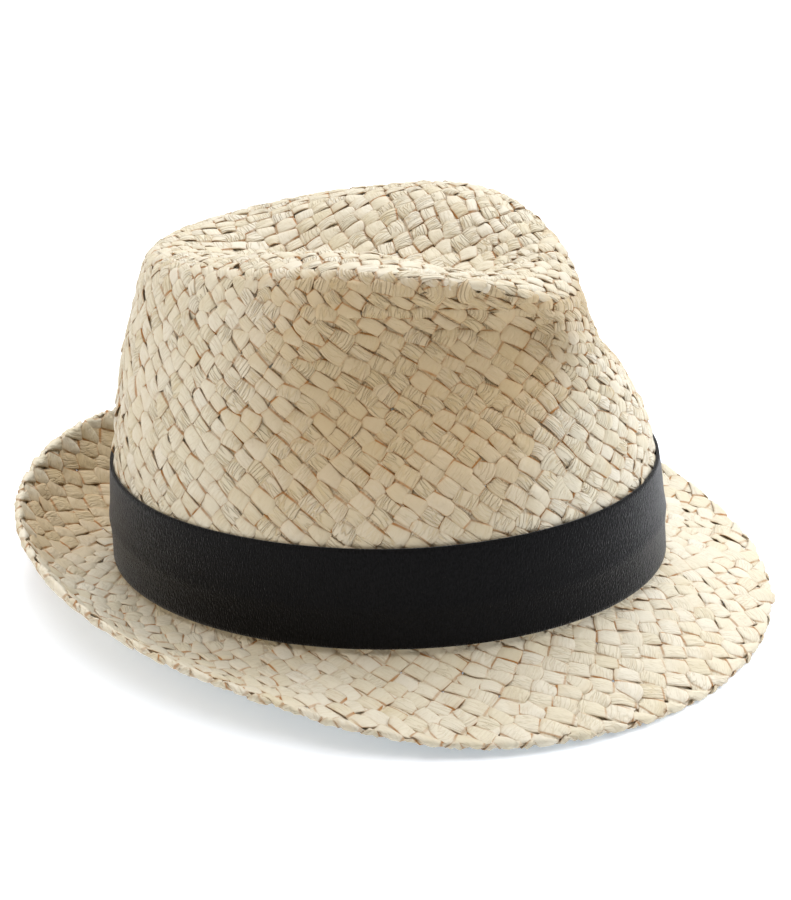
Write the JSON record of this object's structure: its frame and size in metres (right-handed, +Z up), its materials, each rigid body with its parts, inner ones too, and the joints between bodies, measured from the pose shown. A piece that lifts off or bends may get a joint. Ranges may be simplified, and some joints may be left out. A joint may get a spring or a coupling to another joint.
{
  "type": "trilby hat",
  "caption": "Plaited straw trilby hat with a teardrop crease, front pinches, a narrow brim turned down in front and up behind, and a plain dark cloth band.",
  "frame": {"origin": "on the ground under the middle of the hat's bounding box, the hat resting on its brim", "axes": "+Z up from the ground; -Y toward the front of the hat, where the brim turns down; +X toward the wearer's left"},
  "size_m": [0.2534, 0.2816, 0.1408],
  "materials": {
    "straw": "matt plaited paper straw, cream",
    "band_cloth": "matt woven cotton, near black"
  },
  "bodies": {
    "root": {"straw_body": "straw", "hat_band": "band_cloth"}
  },
  "joints": []
}
